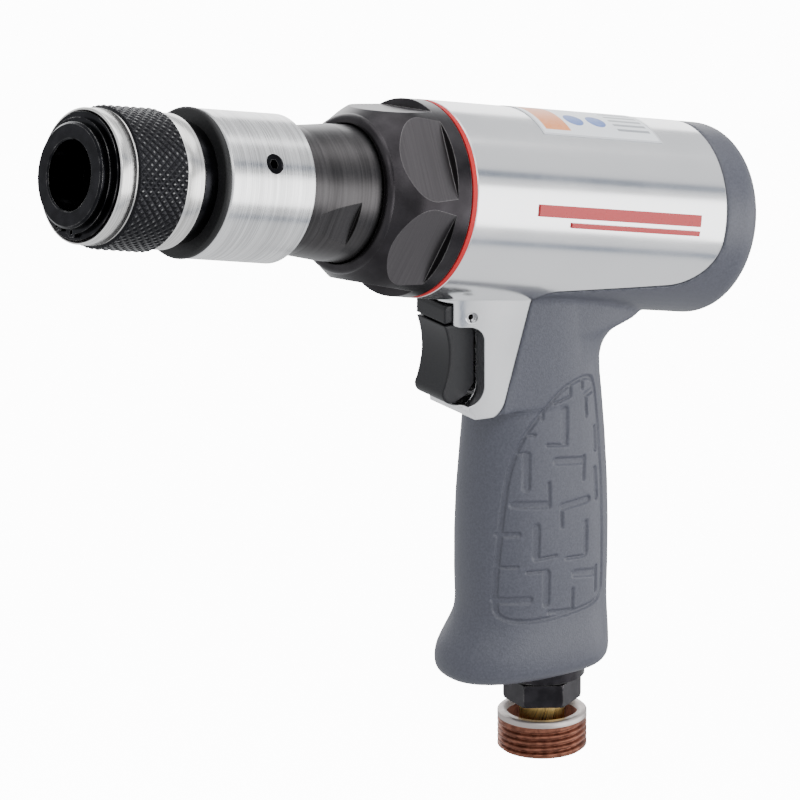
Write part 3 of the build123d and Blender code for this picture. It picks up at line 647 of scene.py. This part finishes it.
def sleeve():
    mouth = SLEEVE_R - SLEEVE_RIM
    inside = SLEEVE_R - SPRING_WALL
    groove = BAND_GROOVE
    outline = [(SLEEVE_X0, mouth, False), (SLEEVE_X0, SLEEVE_R - SLEEVE_EDGE, False)]
    for i in range(4):
        a = pi / 2 * i / 3
        outline.append((SLEEVE_X0 + SLEEVE_EDGE * (1 - cos(a)), SLEEVE_R - SLEEVE_EDGE * (1 - sin(a)), False))
    outline += [
        (KNURL_X[0] - 0.9, SLEEVE_R, False),
        (KNURL_X[0] - 0.8, SLEEVE_R - groove, False),
        (KNURL_X[0] - 0.05, SLEEVE_R - groove, False),
        (KNURL_X[0], KNURL_R - 0.45, False),
    ]
    outline += densely(KNURL_X[0] + 0.35, KNURL_X[1] - 0.35, KNURL_R, 0.2)
    outline += [
        (KNURL_X[1], KNURL_R - 0.45, False),
        (KNURL_X[1] + 0.05, SLEEVE_R - groove, False),
        (KNURL_X[1] + 0.8, SLEEVE_R - groove, False),
        (KNURL_X[1] + 0.9, SLEEVE_R, False),
    ]
    for i in range(4):
        a = pi / 2 * i / 3
        outline.append((SLEEVE_X1 - SLEEVE_EDGE * (1 - sin(a)), SLEEVE_R - SLEEVE_EDGE * (1 - cos(a)), False))
    outline += [
        (SLEEVE_X1, inside, False),
        (SPRING_SEAT_X, inside, False),
        (SPRING_SEAT_X, mouth - LOCK_STEP, False),
        (LOCK_X, mouth - LOCK_STEP, False),
        (LOCK_X, mouth - WASHER_STEP, False),
        (WASHER_X, mouth - WASHER_STEP, False),
        (WASHER_X, mouth, False),
    ]
    return turned_piece("sleeve_knurled", outline, SLEEVE_COLUMNS, knurl)


def knurled_steel():
    """The lands keep the turned finish; the band between them is black with polished tips."""
    material, shader, place = new_material("knurled_steel", Metallic=1.0)
    x, y, z = parts_of(place)
    radius = (y * y + z * z) ** 0.5
    band = between(x, KNURL_X[0] - 0.06, KNURL_X[1] + 0.06)
    grain = noise(scaled(place, (3000, 40, 40)), 1.0, 2.0)
    grime = noise(place, 300, 3.0)
    tips = steps(radius, KNURL_R - 0.10, KNURL_R) * steps(grime, 0.35, 0.65)
    black = mixed(tips, (0.016, 0.016, 0.018, 1), (0.20, 0.20, 0.20, 1))
    bright = mixed(steps(grain, 0.35, 0.65), (0.56, 0.55, 0.53, 1), (0.80, 0.79, 0.77, 1))
    feed(shader.inputs["Base Color"], mixed(band, bright, black))
    feed(shader.inputs["Roughness"], grain * 0.2 + band * 0.08 + 0.16)
    feed(shader.inputs["Normal"], bumped(grain * (1.0 - band), 0.00002))
    MATERIALS["sleeve_steel"] = material


knurled_steel()
finished(sleeve(), "chuck_sleeve", "sleeve_steel", "chuck_sleeve")
print("knurl:", KNURL_TEETH, "teeth round a radius of", round(KNURL_R, 2), "mm")

# %% [markdown]
# The air coupling carries a coarse thread. Its crest runs as one helix, so the height depends
# on the angle as well as on the place along the axis. The rim next to the hexagon is plain.

# %% Threaded coupling
COUPLING_S0 = 148.6
COUPLING_LENGTH = 11.0
COUPLING_R = 12.6
COUPLING_BORE_R = 10.2
COUPLING_HOLE_R = 5.05
COUPLING_WEB = 3.4
THREAD_PITCH = 1.81
THREAD_DEPTH = 1.0
THREAD_S = (150.6, 158.9)


def thread(x, a):
    crest = 0.5 + 0.5 * cos(2 * pi * (x / THREAD_PITCH - a / (2 * pi)))
    fade = min(1.0, (x - THREAD_S[0]) / 0.8, (THREAD_S[1] - x) / 0.8)
    return -THREAD_DEPTH * (1 - min(crest * 1.3, 1.0)) * max(fade, 0.0)


def threaded_coupling():
    end = COUPLING_S0 + COUPLING_LENGTH
    outline = [
        (COUPLING_S0, COUPLING_BORE_R, False),
        (COUPLING_S0, COUPLING_R - 0.4, False),
        (COUPLING_S0 + 0.4, COUPLING_R, False),
        (THREAD_S[0] - 0.1, COUPLING_R, False),
    ]
    outline += densely(THREAD_S[0], THREAD_S[1], COUPLING_R, 0.15)
    outline += [
        (end - 0.6, COUPLING_R, False),
        (end, COUPLING_R - 0.7, False),
        (end, COUPLING_HOLE_R, False),
        (end - COUPLING_WEB, COUPLING_HOLE_R, False),
        (end - COUPLING_WEB, COUPLING_BORE_R, False),
    ]
    side = DOWN.cross(Vector((0, 1, 0)))
    place = Matrix((DOWN, Vector((0, 1, 0)), side)).transposed().to_4x4()
    place.translation = AXIS_POINT
    return turned_piece("coupling_thread", outline, 180, thread, place)


def thread_steel():
    material, shader, place = new_material("coupling_steel", Metallic=0.85)
    from_axis = place.node("ShaderNodeVectorMath", {"operation": "SUBTRACT"},
                           {0: place, 1: tuple(AXIS_POINT)})
    along = from_axis.node("ShaderNodeVectorMath", {"operation": "DOT_PRODUCT"},
                           {0: from_axis, 1: tuple(DOWN)}, output="Value") * 1000.0
    rim = along < THREAD_S[0] - 0.3
    stain = noise(place, 500, 4.0)
    oxide = mixed(steps(stain, 0.35, 0.65), (0.13, 0.048, 0.030, 1), (0.24, 0.095, 0.060, 1))
    # Paler thread edges: worn oxide, and also a painted highlight along the edges.
    wear_and_highlight = edge_wear_and_highlight(place, 0.25 * MM) * steps(stain, 0.4, 0.6) * 0.5
    worn_and_highlit = mixed(wear_and_highlight, oxide, (0.5, 0.38, 0.3, 1))
    feed(shader.inputs["Base Color"], mixed(rim, worn_and_highlit, (0.42, 0.38, 0.36, 1)))
    feed(shader.inputs["Roughness"], stain * 0.25 + 0.28)
    feed(shader.inputs["Normal"], bumped(stain, 0.00003))
    MATERIALS["coupling_steel"] = material


thread_steel()
finished(threaded_coupling(), "hose_coupling", "coupling_steel", "hose_coupling")
print("thread pitch, mm:", THREAD_PITCH)

# %% [markdown]
# The grip is moulded over the metal core, so it has no sharp edge anywhere. Its CAD solid is
# remeshed into even quads and smoothed a little, which rounds each edge as a mould does. The
# panel on each side is then cut in: a closed groove round it, and L-shaped recesses, each
# with one broad arm and one thin one. They are given in the handle's own directions (u, s).

# %% Moulded grip
GRIP_VOXEL = 0.65
PANEL_DEPTH = 0.55
PANEL_SIDE = 7.5
PANEL_S = (44.0, 117.0)
PANEL_EDGE = [
    (4.7, 46.8), (-1.7, 47.5), (-7.2, 50.6), (-14.9, 59.1), (-19.0, 67.3), (-21.5, 78.8),
    (-23.2, 96.2), (-23.6, 109.5), (-22.1, 113.6), (-16.0, 114.9), (-7.1, 114.6), (4.0, 113.5),
    (8.2, 111.5), (9.2, 106.0), (9.4, 92.0), (9.2, 75.0), (8.4, 60.0), (7.2, 50.0),
]
BROAD = 2.1
THIN = 0.8
RECESSES = [
    (BROAD, (-3.5, 54.7), (-3.9, 63.6)), (THIN, (-3.2, 64.9), (-9.5, 63.9)),
    (BROAD, (-6.7, 69.0), (1.6, 70.4)), (THIN, (2.7, 69.4), (2.2, 76.1)),
    (BROAD, (-15.5, 66.2), (-15.9, 75.5)), (THIN, (-15.8, 65.3), (-18.4, 65.6)),
    (BROAD, (-19.3, 80.2), (-10.4, 81.1)), (THIN, (-9.3, 74.9), (-9.4, 81.9)),
    (BROAD, (-4.9, 82.6), (3.4, 82.2)), (THIN, (-5.6, 82.2), (-5.5, 88.5)),
    (BROAD, (-13.3, 87.3), (-13.6, 96.0)), (THIN, (-13.8, 96.8), (-7.6, 96.6)),
    (1.3, (2.8, 88.7), (2.6, 97.8)), (THIN, (-4.1, 98.0), (2.4, 98.6)),
    (BROAD, (-10.4, 101.4), (-10.6, 110.2)), (THIN, (-16.1, 100.3), (-10.0, 100.6)),
    (BROAD, (-1.2, 103.1), (5.6, 104.3)), (THIN, (6.6, 102.8), (6.5, 110.1)),
    (THIN, (-2.0, 107.6), (-2.2, 114.0)), (1.5, (-23.0, 88.9), (-18.4, 88.9)),
    (THIN, (-23.2, 98.5), (-18.6, 98.5)), (BROAD, (-23.4, 108.4), (-15.6, 108.6)),
    (THIN, (-15.8, 60.2), (-13.1, 60.5)), (THIN, (-10.6, 53.4), (-10.7, 56.0)),
    (1.5, (-9.5, 113.2), (-2.6, 113.9)), (THIN, (3.8, 51.6), (4.0, 58.0)),
    (1.5, (3.8, 51.8), (7.0, 51.0)), (1.2, (7.0, 62.0), (7.2, 68.6)), (1.4, (6.6, 74.0), (7.0, 82.6)),
    (THIN, (-1.7, 48.0), (-1.7, 51.0)), (THIN, (-1.7, 51.0), (-7.0, 52.2)), (THIN, (2.6, 47.6), (2.6, 49.6)),
]


def closed_curve(points, steps_between):
    """Smooth closed curve through the points (Catmull-Rom)."""
    curve = []
    count = len(points)
    for i in range(count):
        p0, p1, p2, p3 = (np.array(points[(i + k - 1) % count]) for k in range(4))
        for j in range(steps_between):
            t = j / steps_between
            curve.append(0.5 * (2 * p1 + (p2 - p0) * t + (2 * p0 - 5 * p1 + 4 * p2 - p3) * t * t
                                + (3 * p1 - p0 - 3 * p2 + p3) * t ** 3))
    return curve


def panel_segments():
    edge = closed_curve(PANEL_EDGE, 5)
    segments = [(1.15, edge[i], edge[(i + 1) % len(edge)]) for i in range(len(edge))]
    return segments + [(width, np.array(a), np.array(b)) for width, a, b in RECESSES]


def groove_depth(u, s):
    """How deep each (u, s) point lies in the panel's grooves, from 0 to 1."""
    depth = np.zeros(len(u))
    for width, a, b in panel_segments():
        along = b - a
        length2 = max(float(along @ along), 1e-9)
        t = np.clip(((u - a[0]) * along[0] + (s - a[1]) * along[1]) / length2, 0, 1)
        gap = np.hypot(u - (a[0] + t * along[0]), s - (a[1] + t * along[1]))
        wall = np.clip((width / 2 + 0.22 - gap) / 0.44, 0, 1)
        depth = np.maximum(depth, wall * wall * (3 - 2 * wall))
    return depth


def remeshed(node, name, voxel, rounds):
    """An even quad copy of a CAD node, with its edges rounded."""
    source = frame["nodes"][node]
    copy = bpy.data.objects.new(name, source.data.copy())
    bpy.context.collection.objects.link(copy)
    weld = copy.modifiers.new("weld", "WELD")
    weld.merge_threshold = 0.00001
    remesh = copy.modifiers.new("remesh", "REMESH")
    remesh.mode = "VOXEL"
    remesh.voxel_size = voxel * MM
    remesh.adaptivity = 0
    smooth = copy.modifiers.new("smooth", "SMOOTH")
    smooth.factor = 0.5
    smooth.iterations = rounds
    bpy.context.view_layer.update()
    mesh = bpy.data.meshes.new_from_object(copy.evaluated_get(bpy.context.evaluated_depsgraph_get()))
    copy.modifiers.clear()
    copy.data = mesh
    return copy


def handle_places(mesh):
    count = len(mesh.vertices)
    points = np.zeros(count * 3)
    mesh.vertices.foreach_get("co", points)
    points = points.reshape(-1, 3)
    from_axis = (points - np.array(AXIS_POINT)) / MM
    return points, from_axis @ np.array(BACK), from_axis @ np.array(DOWN)


def cut_panels(grip):
    """Finer quads where the panels are, then the grooves pushed in along the normals."""
    mesh = grip.data
    points, u, s = handle_places(mesh)
    work = bmesh.new()
    work.from_mesh(mesh)
    work.verts.ensure_lookup_table()
    near = (np.abs(points[:, 1]) > PANEL_SIDE * MM) & (s > PANEL_S[0]) & (s < PANEL_S[1])
    near &= (u > -25.5) & (u < 12.0)
    normals = np.array([v.normal for v in work.verts])
    outward = np.sign(points[:, 1]) * normals[:, 1] > -0.1
    near &= outward
    edges = [e for e in work.edges if near[e.verts[0].index] and near[e.verts[1].index]]
    bmesh.ops.subdivide_edges(work, edges=edges, cuts=1, use_grid_fill=True)
    bmesh.ops.triangulate(work, faces=[f for f in work.faces if len(f.verts) > 4])
    work.to_mesh(mesh)
    work.free()
    points, u, s = handle_places(mesh)
    normals = np.array([v.normal for v in mesh.vertices])
    outward = (np.sign(points[:, 1]) * normals[:, 1] > 0.05) & (np.abs(points[:, 1]) > PANEL_SIDE * MM)
    depth = groove_depth(u, s) * outward * PANEL_DEPTH * MM
    points -= normals * depth[:, None]
    mesh.vertices.foreach_set("co", points.ravel())
    mesh.update()
    print("grip faces:", len(mesh.polygons), "grooved points:", int((depth > 0).sum()))


def moulded_grip():
    material, shader, place = new_material("overmould")
    grain = place.node("ShaderNodeTexVoronoi", {}, {"Vector": place, "Scale": 2300.0}, output="Distance")
    mottle = noise(place, 1500, 3.0)
    cloud = noise(place, 35, 3.0)
    height = grain * 0.6 + mottle * 0.4
    body = mixed(steps(mottle, 0.3, 0.7), (0.050, 0.053, 0.070, 1), (0.068, 0.071, 0.092, 1))
    feed(shader.inputs["Base Color"], mixed(cloud * 0.35, body, (0.052, 0.054, 0.066, 1)))
    feed(shader.inputs["Roughness"], mottle * 0.16 + cloud * 0.08 + 0.34)
    feed(shader.inputs["Normal"], bumped(height, 0.00006, None, 0.7))
    MATERIALS["overmould"] = material


moulded_grip()
grip = remeshed("grip_overmould", "grip_moulded", GRIP_VOXEL, 4)
cut_panels(grip)
finished(grip, "tool", "overmould", "grip_overmould")

# %% [markdown]
# The trigger is a plain black moulding with rounded edges where the finger rests, so it gets
# the same treatment at a finer size. It keeps the CAD's finger scoop.

# %% Trigger
trigger = remeshed("trigger", "trigger_moulded", 0.3, 5)
finished(trigger, "trigger", "trigger_black", "trigger")
print("trigger faces:", len(trigger.data.polygons))
